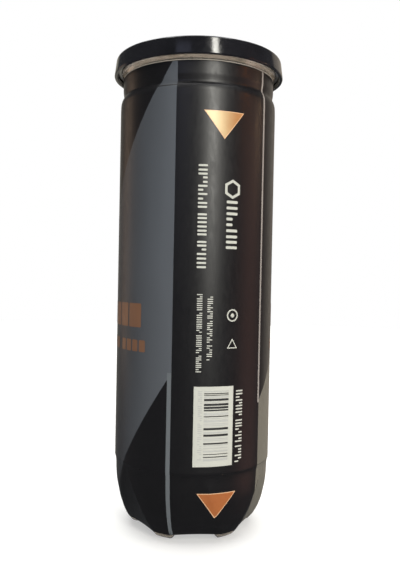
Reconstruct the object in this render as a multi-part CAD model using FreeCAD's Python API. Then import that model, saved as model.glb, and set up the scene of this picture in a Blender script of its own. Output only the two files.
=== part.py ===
"""Tennis ball can with a ring-pull end and a snap cap, holding three balls.

Frame: millimetres, +Z up.  The origin is the middle of the base on the plane
the feet stand on; the front of the print faces -Y.
"""

import math
import os

import FreeCAD
import Part
from BOPTools import SplitAPI

V = FreeCAD.Vector
UP = V(0, 0, 1)
AXIS_POINT = V(0, 0, 0)

# ---- driving sizes ---------------------------------------------------------
BALL_R = 33.0           # felt surface of one ball
BALL_COUNT = 3
BALL_ROOM = 3.18        # from a ball to the clear wall
HEAD_ROOM = 8.1         # from the top ball to the tear panel

# ---- clearances ------------------------------------------------------------
FIT = 0.05              # between pieces that lie against each other
SCORE_GAP = 0.05        # stands for the scored line round the tear panel
BALL_SEAT_GAP = 0.05    # lowest ball above the dome
BALL_STACK_GAP = 0.3    # between balls in the row
BALL_WAY_OUT = 0.6      # least room between a ball and the opened end
CHUCK_GAP = 0.2         # metal end inside the neck

# ---- printed film and clear plastic wall ----------------------------------
FILM_T = 0.12
PET_WALL = 0.65
PET_FLANGE_T = 0.4
SHELL_R = BALL_R + BALL_ROOM + PET_WALL  # outside of the clear wall
CAN_R = SHELL_R + FIT + FILM_T          # outside of the film on the straight wall

# ---- foot ring -------------------------------------------------------------
FEET = 6
FOOT_TURN = 35.0        # first foot, degrees round from the front toward +X
FOOT_R = CAN_R - 13.7   # radius to the middle of a foot pad
PAD_HALF = 1.5          # half the radial width of a pad
VALLEY_FLOOR = 4.8      # underside of the dome above the standing plane
STRAP_TOP = 1.4         # half width of the strap between two feet, at its top
STRAP_FOOT = 7.5        # the same at the standing plane
FOOT_RISE = 32.0        # height where the feet run out into the wall
CREASE_HALF = 1.0       # half height of the crease at the top of the feet
FOOT_TOP = FOOT_RISE + 2.0
FILM_FOOT = 3.3         # height of the lower edge of the film
HUB_R = 8.0             # where a foot's inner flank meets the dome
CREASE_DROP = 0.45      # how far the side of a foot lies inside the wall's radius,
SIDE_MID_DROP = 1.2     # from the crease down to the turn onto the pad
SIDE_DROP = 2.8
HEEL_MID_DROP = 4.8
HEEL_DROP = 7.1
TURN_DROP = 9.2
SIDE_MID_H = FOOT_RISE * 0.66
SIDE_H = FOOT_RISE * 0.42
HEEL_MID_H = FOOT_RISE * 0.24
TURN_H = FILM_FOOT * 0.35
FLANK_SHARE = 0.55      # middle of the inner flank, from the hub toward the pad
FLANK_HEIGHT = 0.52     # its height as a share of the hub's

# ---- the row of balls ------------------------------------------------------
FELT_T = 3.0
CORE_R = BALL_R - FELT_T
CORE_T = 3.4
SEAM_WIDTH = 1.7        # glue line between the two felt panels
SEAM_SINK = 0.45        # glue line below the felt
SEAM_SHARE = 0.25       # how far the line swings: share of the third harmonic
SEAM_POINTS = 40
BALL_FIRST_Z = VALLEY_FLOOR + PET_WALL + BALL_SEAT_GAP + BALL_R
BALL_PITCH = 2 * BALL_R + BALL_STACK_GAP
ROW_TOP = BALL_FIRST_Z + (BALL_COUNT - 1) * BALL_PITCH + BALL_R
BALL_NAMES = ("bottom", "middle", "top")
BALL_TURNS = (20.0, 145.0, 260.0)       # each ball lies turned its own way
BALL_TILTS = (35.0, 70.0, 15.0)

# ---- metal end -------------------------------------------------------------
END_T = 0.3             # metal sheet
SEAM_H = 3.1
HOOK_SHORT = 0.7        # the bottle's hook ends this far above the seam's foot
GASKET_ROOM = 0.3       # sealing compound between the hook and the seam's top
COVER_SHORT = 0.85      # the end's own hook stops this far below the seam's top layer
PANEL_DEPTH = 5.15      # seam top down to the middle of the panel's sheet
COUNTERSINK = 6.6       # seam top down to the bottom of the channel
CHANNEL_W = 0.53        # inside width of the channel
LIP_LEN = 0.1           # metal left standing outside the score
BEAD_IN = 2.6           # stiffening groove, inward of the panel's edge
BEAD_HALF = 0.8         # half its width at the top
BEAD_SINK = 0.35
SEAM_TOP = ROW_TOP + HEAD_ROOM + END_T / 2 + PANEL_DEPTH
PANEL_Z = SEAM_TOP - PANEL_DEPTH
PANEL_R = BALL_R + BALL_WAY_OUT
LIP_R = PANEL_R + SCORE_GAP
CHUCK_FOOT_R = LIP_R + LIP_LEN + END_T + CHANNEL_W + END_T

# ---- neck ------------------------------------------------------------------
NECK_R = CHUCK_FOOT_R + CHUCK_GAP + PET_WALL + FIT + FILM_T     # outside of the film
SEAM_R = NECK_R + 2.35                  # outside of the double seam
NECK_TOP = SEAM_TOP - 6.0               # upper edge of the film
NECK_RUN = 0.3                          # straight wall above the film before the flare
NECK_LOW = SEAM_TOP - 11.5              # neck begins to run into the groove
GROOVE_Z = SEAM_TOP - 15.1
GROOVE_R = NECK_R - 0.3
RISE_Z = SEAM_TOP - 16.7                # middle of the step from the groove to the wall
RISE_R = (GROOVE_R + CAN_R) / 2
STEP_Z = SEAM_TOP - 18.4
STEP_R = CAN_R - 0.2
WALL_TOP = SEAM_TOP - 22.5

# ---- pull tab --------------------------------------------------------------
TAB_T = 1.1
TAB_LEN = 28.5
TAB_HALF = 10.0
TAB_NOSE_Y = -(PANEL_R - 1.9)
RIVET_Y = TAB_NOSE_Y + 7.9
RIVET_STEM_R = 1.7
RIVET_HEAD_R = 2.6
RIVET_HEAD_T = 0.4
TONGUE_T = 0.35
TONGUE_HALF = 3.6
FINGER_HALF = 6.6
FINGER_RIM = 3.0        # width of the ring behind the finger hole
FINGER_Y = TAB_NOSE_Y + TAB_LEN - FINGER_RIM - FINGER_HALF
WELL_DEPTH = 0.8
WELL_ROOM = 2.0         # the finger well reaches this far past the hole
WELL_SLOPE = 1.2        # the well's side runs in this much from top to floor
CHEEK_Y = 3.2           # the tab's nose widens into its sides this far back
CHEEK_HALF = TAB_HALF * 0.68
SIDE_RUN = 6.0          # straight side ahead of the rounded tail
TAIL_DEPTH = TAB_HALF + 1.0
TONGUE_FRONT = 2.6      # tongue begins this far behind the nose
WINDOW_ROOM = 0.4       # slot round the tongue
HOLE_STRETCH = 1.4      # the finger hole is this much longer than wide

# ---- snap cap --------------------------------------------------------------
CAP_WALL = 1.2
CAP_ROOM = 0.55         # seam to skirt
CAP_FLARE = 0.3         # the lower lip stands this much wider
CAP_LIP = 0.6           # skirt below the bead
BEAD_H = 1.0
BEAD_DROP = 0.4         # bead below the seam
SEAT_H = 1.65           # ring that rests on the seam
CAP_ROUND = 1.2
CAP_RECESS = 0.6
CAP_RIM = 4.6           # width of the raised rim round the top
CAP_SLOPE = 0.8         # the rim slopes down to the middle over this width
CAP_CHAMFER = 0.4       # lower edge of the lip
SEAT_IN = 0.8           # middle of the seating ring inside the seam's outside
SEAT_TAPER = 0.6
CAP_IN_R = SEAM_R + CAP_ROOM
CAP_LOW = SEAM_TOP - SEAM_H - BEAD_DROP - BEAD_H - CAP_LIP
CAP_TOP = SEAM_TOP + FIT + SEAT_H + CAP_WALL


# ---- helpers ---------------------------------------------------------------
def at(r, z):
    """Point in the half plane that is turned round the axis."""
    return V(r, 0, z)


def line(a, b):
    return Part.LineSegment(at(*a), at(*b)).toShape()


def arc(a, b, c):
    return Part.Arc(at(*a), at(*b), at(*c)).toShape()


def curve(points):
    """Smooth curve, vertical at both ends."""
    spline = Part.BSplineCurve()
    spline.interpolate([at(*p) for p in points], InitialTangent=UP, FinalTangent=UP)
    return spline.toShape()


def turned(edges):
    """Solid of revolution from a closed run of edges."""
    face = Part.Face(Part.Wire(edges))
    return solid_of(face.revolve(AXIS_POINT, UP, 360))


def polygon(points):
    closed = list(points) + [points[0]]
    return [line(a, b) for a, b in zip(closed, closed[1:])]


def solid_of(shape):
    """The one solid in a shape, turned right side out."""
    solids = shape.Solids
    if len(solids) != 1:
        raise ValueError("expected one solid, found %d" % len(solids))
    solid = solids[0]
    if solid.Volume < 0:
        solid.reverse()
    return solid


def ring(r_in, r_out, z_low, z_high):
    return turned(polygon([(r_in, z_low), (r_out, z_low), (r_out, z_high), (r_in, z_high)]))


def sheet(path, thickness):
    """Sheet metal bent along a path, as a ring round the axis."""
    half = thickness / 2
    left, right = [], []
    for i, (r, z) in enumerate(path):
        before = path[max(i - 1, 0)]
        after = path[min(i + 1, len(path) - 1)]
        first = unit(before, (r, z)) if i > 0 else unit((r, z), after)
        second = unit((r, z), after) if i < len(path) - 1 else first
        nr, nz = -(first[1] + second[1]), first[0] + second[0]
        size = math.hypot(nr, nz)
        nr, nz = nr / size, nz / size
        mitre = half / (nr * -first[1] + nz * first[0])
        left.append((r + nr * mitre, z + nz * mitre))
        right.append((r - nr * mitre, z - nz * mitre))
    return turned(polygon(left + right[::-1]))


def unit(a, b):
    size = math.hypot(b[0] - a[0], b[1] - a[1])
    return ((b[0] - a[0]) / size, (b[1] - a[1]) / size)


# ---- the clear plastic body ------------------------------------------------
def side_points(inset):
    """Outline of the wall above the feet, drawn in by inset."""
    return {
        "wall_top": (CAN_R - inset, WALL_TOP),
        "step": (STEP_R - inset, STEP_Z),
        "rise": (RISE_R - inset, RISE_Z),
        "groove": (GROOVE_R - inset, GROOVE_Z),
        "neck_low": (NECK_R - inset, NECK_LOW),
        "neck_top": (NECK_R - inset, NECK_TOP),
    }


def shoulder(inset):
    """Edge from the straight wall through the groove to the neck."""
    p = side_points(inset)
    return curve([p["wall_top"], p["step"], p["rise"], p["groove"], p["neck_low"]])


def foot_points(inset, lift):
    """Outline of a foot seen from the side, drawn in by inset and up by lift."""
    big = CAN_R - inset
    return {
        "crease_top": (big, FOOT_RISE + CREASE_HALF),
        "crease": (big - CREASE_DROP, FOOT_RISE - CREASE_HALF),
        "side_mid": (big - SIDE_MID_DROP, SIDE_MID_H),
        "side": (big - SIDE_DROP, SIDE_H),
        "heel_mid": (big - HEEL_MID_DROP, HEEL_MID_H),
        "heel": (big - HEEL_DROP, FILM_FOOT + lift * 0.6),
        "turn_mid": (big - TURN_DROP, TURN_H + lift * 0.85),
        "pad_out": (FOOT_R + PAD_HALF, lift),
        "pad_in": (FOOT_R - PAD_HALF, lift),
    }


def foot_side(inset, lift=0.0):
    """Edges from the straight wall down the side of a foot to the film's edge."""
    p = foot_points(inset, lift)
    return [
        line(p["crease_top"], p["crease"]),
        arc(p["crease"], p["side_mid"], p["side"]),
        arc(p["side"], p["heel_mid"], p["heel"]),
    ]


def dome_z(r, radius, centre_z):
    return centre_z - math.sqrt(radius * radius - r * r)


def foot_ring(inset, lift, top_z):
    """Everything the feet could fill, before it is cut into separate feet."""
    p = foot_points(inset, lift)
    radius = CAN_R - inset
    dome_centre = VALLEY_FLOOR + SHELL_R
    hub = (HUB_R, dome_z(HUB_R, radius, dome_centre))
    pole = (0.0, dome_centre - radius)
    half_hub = (HUB_R / 2, dome_z(HUB_R / 2, radius, dome_centre))
    hub_share = 1 - FLANK_SHARE
    flank_z = hub[1] * FLANK_HEIGHT + lift * (1 - FLANK_HEIGHT)
    flank = (HUB_R * hub_share + p["pad_in"][0] * FLANK_SHARE, flank_z)
    top_out = (radius, top_z)
    top_in = (0.0, top_z)
    edges = [line(top_in, top_out), line(top_out, p["crease_top"])]
    edges += foot_side(inset, lift)
    edges += [
        arc(p["heel"], p["turn_mid"], p["pad_out"]),
        line(p["pad_out"], p["pad_in"]),
        arc(p["pad_in"], flank, hub),
        arc(hub, half_hub, pole),
        line(pole, top_in),
    ]
    return turned(edges)


def foot_wedge(index, extra):
    """Sector one foot may fill; extra keeps the inside a wall away."""
    half_angle = math.pi / FEET
    reach = CAN_R * 2
    sections = []
    for z, strap in ((-1.0, STRAP_FOOT), (FOOT_TOP, STRAP_TOP)):
        apex = (strap + extra) / math.sin(half_angle)
        side = (reach - apex) * math.tan(half_angle)
        corners = [V(apex, 0, z), V(reach, side, z), V(reach, -side, z)]
        sections.append(Part.makePolygon(corners + [corners[0]]))
    wedge = Part.makeLoft(sections, True, True)
    turn = -90 + FOOT_TURN + index * 360.0 / FEET
    wedge.rotate(AXIS_POINT, UP, turn)
    return wedge


def bulb(inset, lift, extra, upper_edges, upper_start, upper_end):
    """Domed bottle shape with feet: a body of revolution and its feet."""
    radius = CAN_R - inset
    dome_centre = VALLEY_FLOOR + SHELL_R
    pole = (0.0, dome_centre - radius)
    lean = radius * math.sqrt(0.5)
    shoulder_point = (lean, dome_centre - lean)
    dome = arc(pole, shoulder_point, (radius, dome_centre))
    wall = line((radius, dome_centre), upper_start)
    top = line(upper_end, (0.0, upper_end[1]))
    core = line((0.0, upper_end[1]), pole)
    body = turned([dome, wall] + upper_edges + [top, core])
    feet = foot_ring(inset, lift, FOOT_TOP)
    for index in range(FEET):
        body = body.fuse(feet.common(foot_wedge(index, extra)))
    return solid_of(body.removeSplitter())


def pet_body():
    """Clear bottle with standing feet, neck and the hook caught in the seam."""
    skin = FILM_T + FIT
    outer = side_points(skin)
    inner = side_points(skin + PET_WALL)
    hook = hook_sizes()
    flare_out = (NECK_R - skin, NECK_TOP + NECK_RUN)
    flare_in = (NECK_R - skin - PET_WALL, NECK_TOP + NECK_RUN + FIT)
    wall_out = (hook["wall_out"], hook["low"] - FIT)
    wall_in = (hook["wall_in"], hook["low"])
    open_top = hook["top"] + 1.0
    outside = bulb(
        skin, 0.0, 0.0,
        [shoulder(skin), line(outer["neck_low"], flare_out), line(flare_out, wall_out),
         line(wall_out, (hook["wall_out"], hook["top"]))],
        outer["wall_top"], (hook["wall_out"], hook["top"]))
    inside = bulb(
        skin + PET_WALL, PET_WALL, PET_WALL * 1.05,
        [shoulder(skin + PET_WALL), line(inner["neck_low"], flare_in), line(flare_in, wall_in),
         line(wall_in, (hook["wall_in"], open_top))],
        inner["wall_top"], (hook["wall_in"], open_top))
    lip_top = ring(hook["wall_out"] - FIT, hook["hook_out"], hook["top"] - PET_FLANGE_T, hook["top"])
    lip_down = ring(hook["hook_in"], hook["hook_out"], hook["hook_low"], hook["top"])
    shell = outside.fuse([lip_top, lip_down]).cut(inside)
    return solid_of(shell.removeSplitter())


def hook_sizes():
    """Radii and heights of the layers inside the double seam."""
    wall_in = SEAM_R - 3 * END_T - 2 * PET_FLANGE_T + END_T - 3 * FIT
    return {
        "wall_in": wall_in - FIT,
        "wall_out": wall_in - FIT + PET_FLANGE_T,
        "hook_in": SEAM_R - END_T - FIT - PET_FLANGE_T,
        "hook_out": SEAM_R - END_T - FIT,
        "low": SEAM_TOP - SEAM_H - 2 * FIT,
        "hook_low": SEAM_TOP - SEAM_H + HOOK_SHORT,
        "top": SEAM_TOP - END_T - GASKET_ROOM,
    }


def printed_sleeve():
    """Printed film shrunk onto the bottle from the neck to just above the feet."""
    out = side_points(0.0)
    inn = side_points(FILM_T)
    foot_out = foot_points(0.0, 0.0)
    foot_in = foot_points(FILM_T, 0.0)
    edges = [
        line(out["neck_top"], out["neck_low"]),
        shoulder(0.0),
        line(out["wall_top"], foot_out["crease_top"]),
    ]
    edges += foot_side(0.0)
    edges.append(line(foot_out["heel"], foot_in["heel"]))
    edges += foot_side(FILM_T)[::-1]
    edges += [
        line(foot_in["crease_top"], inn["wall_top"]),
        shoulder(FILM_T),
        line(inn["neck_low"], inn["neck_top"]),
        line(inn["neck_top"], out["neck_top"]),
    ]
    return turned(edges)


# ---- the metal end ---------------------------------------------------------
def end_ring():
    """Rim of the metal end: double seam, chuck wall and channel."""
    half = END_T / 2
    hook = hook_sizes()
    cover_r = hook["wall_out"] + FIT + half
    outer_r = SEAM_R - half
    top_z = SEAM_TOP - half
    low_z = SEAM_TOP - SEAM_H + half
    chuck_r = hook["wall_in"] - FIT - half
    channel_z = SEAM_TOP - COUNTERSINK + half
    foot_r = CHUCK_FOOT_R - half
    riser_r = LIP_R + LIP_LEN + half
    path = [
        (cover_r, SEAM_TOP - END_T - COVER_SHORT),
        (cover_r, low_z),
        (outer_r, low_z),
        (outer_r, top_z),
        (chuck_r, top_z),
        (chuck_r, hook["low"] + NECK_RUN),
        (foot_r, NECK_TOP + NECK_RUN + 2 * FIT),
        (foot_r, channel_z),
        (riser_r, channel_z),
        (riser_r, PANEL_Z),
        (LIP_R, PANEL_Z),
    ]
    return sheet(path, END_T)


def seam_gasket():
    """Sealing compound between the bottle's hook and the seam."""
    hook = hook_sizes()
    low = hook["top"] + FIT
    high = SEAM_TOP - END_T - FIT
    return ring(hook["wall_in"] + FIT, hook["hook_out"] - FIT, low, high)


def tear_panel():
    """Tear-out panel with its stiffening groove, finger well and rivet."""
    groove = PANEL_R - BEAD_IN
    groove_z = PANEL_Z - BEAD_SINK
    path = [
        (groove - BEAD_HALF, PANEL_Z), (groove - BEAD_HALF / 2, groove_z),
        (groove + BEAD_HALF / 2, groove_z), (groove + BEAD_HALF, PANEL_Z), (PANEL_R, PANEL_Z),
    ]
    rim = sheet(path, END_T)
    low = PANEL_Z - END_T / 2
    floor = Part.makeCylinder(groove - BEAD_HALF, END_T, V(0, 0, low), UP)
    floor_top = PANEL_Z + END_T / 2
    well_r = FINGER_HALF + WELL_ROOM
    well_low = low - WELL_DEPTH
    foot_r = well_r - WELL_SLOPE
    well_out = Part.makeCone(foot_r, well_r, WELL_DEPTH, V(0, FINGER_Y, well_low), UP)
    well_floor = V(0, FINGER_Y, well_low + END_T)
    well_in = Part.makeCone(foot_r - END_T, well_r - END_T, WELL_DEPTH, well_floor, UP)
    well_mouth = Part.makeCylinder(well_r - END_T, END_T, V(0, FINGER_Y, low + END_T), UP)
    well_cut = well_in.fuse(well_mouth)
    stem_top = floor_top + FIT + TONGUE_T + FIT
    stem = Part.makeCylinder(RIVET_STEM_R, stem_top - PANEL_Z, V(0, RIVET_Y, PANEL_Z), UP)
    head = Part.makeCylinder(RIVET_HEAD_R, RIVET_HEAD_T, V(0, RIVET_Y, stem_top), UP)
    head = head.makeChamfer(RIVET_HEAD_T / 3, [top_edge(head)])
    panel = rim.fuse([floor, well_out]).cut(well_cut).fuse([stem, head])
    return solid_of(panel.removeSplitter())


def top_edge(shape):
    """Round edge with the highest middle."""
    return max(shape.Edges, key=lambda e: e.CenterOfMass.z)


def tab_base_z():
    return PANEL_Z + END_T / 2 + FIT


def tab_tongue():
    """Flat tongue of the tab that the rivet holds down."""
    z = tab_base_z()
    front = TAB_NOSE_Y + TONGUE_FRONT
    strip = Part.makeBox(2 * TONGUE_HALF, RIVET_Y - front, TONGUE_T, V(-TONGUE_HALF, front, z))
    end = Part.makeCylinder(TONGUE_HALF, TONGUE_T, V(0, RIVET_Y, z), UP)
    hole = Part.makeCylinder(RIVET_STEM_R + FIT, TONGUE_T + 2, V(0, RIVET_Y, z - 1), UP)
    return solid_of(strip.fuse(end).cut(hole).removeSplitter())


def tab_ring():
    """Pull ring with rolled edges, open round the rivet and for the finger."""
    z = tab_base_z()
    nose, tail = TAB_NOSE_Y, TAB_NOSE_Y + TAB_LEN
    wide_y = tail - TAIL_DEPTH
    cheek = V(CHEEK_HALF, nose + CHEEK_Y, z)
    right = [cheek, V(TAB_HALF, wide_y - SIDE_RUN, z), V(TAB_HALF, wide_y, z)]
    left = [V(-p.x, p.y, z) for p in right]
    edges = [
        Part.Arc(left[0], V(0, nose, z), right[0]).toShape(),
        Part.LineSegment(right[0], right[1]).toShape(),
        Part.LineSegment(right[1], right[2]).toShape(),
        Part.Arc(right[2], V(0, tail, z), left[2]).toShape(),
        Part.LineSegment(left[2], left[1]).toShape(),
        Part.LineSegment(left[1], left[0]).toShape(),
    ]
    plate = Part.Face(Part.Wire(edges)).extrude(V(0, 0, TAB_T))
    rims = [e for e in plate.Edges if abs(e.CenterOfMass.z - z - TAB_T) < 1e-6]
    plate = plate.makeFillet(TAB_T * 0.4, rims)
    finger = Part.makeCylinder(FINGER_HALF, TAB_T + 2, V(0, FINGER_Y, z - 1), UP)
    finger_low = Part.makeCylinder(FINGER_HALF, TAB_T + 2, V(0, FINGER_Y - HOLE_STRETCH, z - 1), UP)
    window_half = TONGUE_HALF + WINDOW_ROOM
    front = nose + TONGUE_FRONT - WINDOW_ROOM
    window = Part.makeBox(2 * window_half, RIVET_Y - front, TAB_T + 2, V(-window_half, front, z - 1))
    window_end = Part.makeCylinder(window_half, TAB_T + 2, V(0, RIVET_Y, z - 1), UP)
    return solid_of(plate.cut([finger, finger_low, window, window_end]).removeSplitter())


# ---- the cap ---------------------------------------------------------------
def snap_cap():
    """Press-on plastic cap with a raised rim and a bead inside its lip."""
    out_r = CAP_IN_R + CAP_WALL
    low = CAP_LOW
    ceiling = CAP_TOP - CAP_WALL
    lip_r = out_r + CAP_FLARE
    rim_in = out_r - CAP_RIM
    quarter = CAP_ROUND * (1 - math.sqrt(0.5))
    bead_r = SEAM_R + FIT
    bead_z = low + CAP_LIP
    seat_r = SEAM_R - SEAT_IN
    dish_r = rim_in - CAP_SLOPE
    seat_in = seat_r - CAP_SLOPE
    seat_low = SEAM_TOP + FIT
    edges = [
        line((0, ceiling - CAP_RECESS), (0, CAP_TOP - CAP_RECESS)),
        line((0, CAP_TOP - CAP_RECESS), (dish_r, CAP_TOP - CAP_RECESS)),
        line((dish_r, CAP_TOP - CAP_RECESS), (rim_in, CAP_TOP)),
        line((rim_in, CAP_TOP), (out_r - CAP_ROUND, CAP_TOP)),
        arc((out_r - CAP_ROUND, CAP_TOP), (out_r - quarter, CAP_TOP - quarter),
            (out_r, CAP_TOP - CAP_ROUND)),
        line((out_r, CAP_TOP - CAP_ROUND), (lip_r, low + CAP_CHAMFER)),
        line((lip_r, low + CAP_CHAMFER), (out_r, low)),
        line((out_r, low), (CAP_IN_R, low)),
        line((CAP_IN_R, low), (CAP_IN_R, bead_z)),
        arc((CAP_IN_R, bead_z), (bead_r, bead_z + BEAD_H / 2), (CAP_IN_R, bead_z + BEAD_H)),
        line((CAP_IN_R, bead_z + BEAD_H), (CAP_IN_R, ceiling)),
        line((CAP_IN_R, ceiling), (seat_r + SEAT_TAPER, ceiling)),
        line((seat_r + SEAT_TAPER, ceiling), (seat_r, seat_low)),
        line((seat_r, seat_low), (seat_in, seat_low)),
        line((seat_in, seat_low), (seat_in - SEAT_TAPER, ceiling - CAP_RECESS)),
        line((seat_in - SEAT_TAPER, ceiling - CAP_RECESS), (0, ceiling - CAP_RECESS)),
    ]
    return turned(edges)


# ---- the balls -------------------------------------------------------------
def seam_curve(radius, shift):
    """Closed line on a ball, moved sideways over the surface by shift."""
    a, b = 1 - SEAM_SHARE, SEAM_SHARE
    lift = 2 * math.sqrt(a * b)
    points = []
    for i in range(SEAM_POINTS):
        t = 2 * math.pi * i / SEAM_POINTS
        n = V(a * math.cos(t) + b * math.cos(3 * t),
              a * math.sin(t) - b * math.sin(3 * t),
              lift * math.sin(2 * t))
        d = V(-a * math.sin(t) - 3 * b * math.sin(3 * t),
              a * math.cos(t) - 3 * b * math.cos(3 * t),
              2 * lift * math.cos(2 * t))
        side = n.cross(d).normalize()
        angle = shift / BALL_R
        points.append((n * math.cos(angle) + side * math.sin(angle)) * radius)
    spline = Part.BSplineCurve()
    spline.interpolate(points, PeriodicFlag=True)
    return spline.toShape()


def seam_wall(shift):
    """Cutting surface that stands on the seam line."""
    return Part.makeRuledSurface(seam_curve(CORE_R - 2, shift), seam_curve(BALL_R + 2, shift))


def hollow_ball(r_in, r_out):
    return Part.makeSphere(r_out).cut(Part.makeSphere(r_in))


def ball_parts():
    """Core halves, felt panels and glue line of one ball round the origin."""
    cup = hollow_ball(CORE_R - CORE_T, CORE_R)
    block = Part.makeBox(4 * CORE_R, 4 * CORE_R, 2 * CORE_R, V(-2 * CORE_R, -2 * CORE_R, FIT / 2))
    upper = solid_of(cup.common(block))
    lower = upper.mirror(AXIS_POINT, UP)
    cover = hollow_ball(CORE_R + FIT, BALL_R)
    half = SEAM_WIDTH / 2
    cut = SplitAPI.slice(cover, [seam_wall(half + FIT), seam_wall(-half - FIT)], "Split", 0.0)
    felts = sorted(cut.Solids, key=lambda s: s.Volume)[-2:]
    felts.sort(key=lambda s: s.BoundBox.XLength)
    glue_shell = hollow_ball(CORE_R + FIT, BALL_R - SEAM_SINK)
    cut = SplitAPI.slice(glue_shell, [seam_wall(half), seam_wall(-half)], "Split", 0.0)
    glue = min(cut.Solids, key=lambda s: s.Volume)
    return {
        "core_lower": solid_of(lower),
        "core_upper": upper,
        "felt_a": felts[0],
        "felt_b": felts[1],
        "glue_line": glue,
    }


def placed(shape, index):
    """One ball piece at its place in the row."""
    copy = shape.copy()
    copy.rotate(AXIS_POINT, V(1, 0, 0), BALL_TILTS[index])
    copy.rotate(AXIS_POINT, UP, BALL_TURNS[index])
    copy.translate(V(0, 0, BALL_FIRST_Z + index * BALL_PITCH))
    return copy


def build():
    """Every piece by name."""
    pieces = {
        "pet_body": pet_body(),
        "printed_sleeve": printed_sleeve(),
        "end_ring": end_ring(),
        "seam_gasket": seam_gasket(),
        "tear_panel": tear_panel(),
        "tab_tongue": tab_tongue(),
        "tab_ring": tab_ring(),
        "snap_cap": snap_cap(),
    }
    parts = ball_parts()
    for index in range(BALL_COUNT):
        for name, shape in parts.items():
            pieces["ball_%s_%s" % (BALL_NAMES[index], name)] = placed(shape, index)
    return pieces


def main():
    os.makedirs("parts", exist_ok=True)
    for name, shape in build().items():
        box = shape.BoundBox
        print("%-24s valid %s volume %10.1f  z %7.2f %7.2f" % (
            name, shape.isValid(), shape.Volume, box.ZMin, box.ZMax))
        shape.exportStep("parts/%s.step" % name)


main()
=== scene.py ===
"""Tennis ball can with a ring-pull end, a snap cap and three felt balls: shapes and finishes.

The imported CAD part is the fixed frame.  Lengths are metres, +Z is up, the front of the print
faces -Y, and an angle on the can is counted from the front toward +X.
"""

from __future__ import annotations

import logging
import math
from dataclasses import dataclass, field
from enum import Enum
from functools import cached_property

import bmesh
import bpy
import numpy as np
from mathutils import Matrix, Vector

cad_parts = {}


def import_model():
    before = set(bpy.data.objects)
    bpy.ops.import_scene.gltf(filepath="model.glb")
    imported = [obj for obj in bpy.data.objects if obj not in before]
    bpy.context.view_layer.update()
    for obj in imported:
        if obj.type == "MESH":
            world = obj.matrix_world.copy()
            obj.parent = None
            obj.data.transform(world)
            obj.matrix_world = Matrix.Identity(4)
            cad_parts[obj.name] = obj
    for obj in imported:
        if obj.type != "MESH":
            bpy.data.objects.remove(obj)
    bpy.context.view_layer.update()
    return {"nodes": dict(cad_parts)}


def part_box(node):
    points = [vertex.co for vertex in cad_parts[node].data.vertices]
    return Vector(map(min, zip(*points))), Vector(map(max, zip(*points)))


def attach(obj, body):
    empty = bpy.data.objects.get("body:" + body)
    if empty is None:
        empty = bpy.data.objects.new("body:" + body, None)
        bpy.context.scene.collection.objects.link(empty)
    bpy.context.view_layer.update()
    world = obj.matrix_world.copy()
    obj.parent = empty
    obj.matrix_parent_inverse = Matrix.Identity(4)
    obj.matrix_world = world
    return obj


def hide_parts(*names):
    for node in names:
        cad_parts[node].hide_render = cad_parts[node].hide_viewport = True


LOG = logging.getLogger("ball_can")
MM = 0.001
# Most of a noise lies between these two values, so a range mapped from them shows both its ends.
LOW_MARK, HIGH_MARK = 0.3, 0.7
PAINTED_LIGHT_SHARE = 0.8        # how far the painted gradient of light and shade covers the ink's own mottle
TINY = 1e-5             # radius of a ring that stands for a point on the axis

Point2 = tuple[float, float]
Outline = list[Point2]
Obj = bpy.types.Object
Tree, Node, Socket = bpy.types.NodeTree, bpy.types.Node, bpy.types.NodeSocket


class Body(Enum):
    """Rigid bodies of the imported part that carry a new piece."""

    CAN = "can"
    CAP = "cap"
    BALL_BOTTOM = "ball_bottom"
    BALL_MIDDLE = "ball_middle"
    BALL_TOP = "ball_top"


class Slot(Enum):
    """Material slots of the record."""

    PET = "clear_pet"
    FILM = "printed_film"
    CAP = "black_cap"
    FELT = "ball_felt"
    GLUE = "glue"


# ---------------------------------------------------------------- finishes


def linear(code: str) -> tuple[float, float, float, float]:
    """Turn an sRGB hex colour to linear light.

    Args:
        code: Six hex digits after a hash.

    Returns:
        Linear red, green and blue, and an alpha of one.
    """
    values = [int(code[i : i + 2], 16) / 255 for i in (1, 3, 5)]
    straight = [v / 12.92 if v <= 0.04045 else ((v + 0.055) / 1.055) ** 2.4 for v in values]
    return (*straight, 1.0)


def add(tree: Tree, kind: str, links: dict | None = None, **settings: object) -> Node:
    """Add one shader node.

    Args:
        tree: Node tree that takes the node.
        kind: Blender's node type name.
        links: Input name or index to a socket to link, or to a plain value.
        **settings: Attributes to set on the node first.

    Returns:
        The new node.
    """
    node = tree.nodes.new(kind)
    for name, value in settings.items():
        setattr(node, name, value)
    for name, value in (links or {}).items():
        if isinstance(value, Socket):
            tree.links.new(value, node.inputs[name])
        else:
            node.inputs[name].default_value = value
    return node


@dataclass(frozen=True)
class Marks:
    """Irregular marks on a surface, given by the real size of one mark."""

    size: float
    stretch: tuple[float, float, float] = (1.0, 1.0, 1.0)
    detail: float = 2.0
    roughness: float = 0.5

    def lay(self, tree: Tree) -> Node:
        """Lay the marks over the surface, in the can's own frame.

        Args:
            tree: Node tree that takes the nodes.

        Returns:
            The noise node that draws them.
        """
        place = add(tree, "ShaderNodeTexCoord").outputs["Object"]
        scale = tuple(1 / s for s in self.stretch)
        stretched = add(tree, "ShaderNodeMapping", {"Vector": place, "Scale": scale}).outputs["Vector"]
        links = {"Vector": stretched, "Scale": 1 / self.size, "Detail": self.detail}
        return add(tree, "ShaderNodeTexNoise", {**links, "Roughness": self.roughness})


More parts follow.
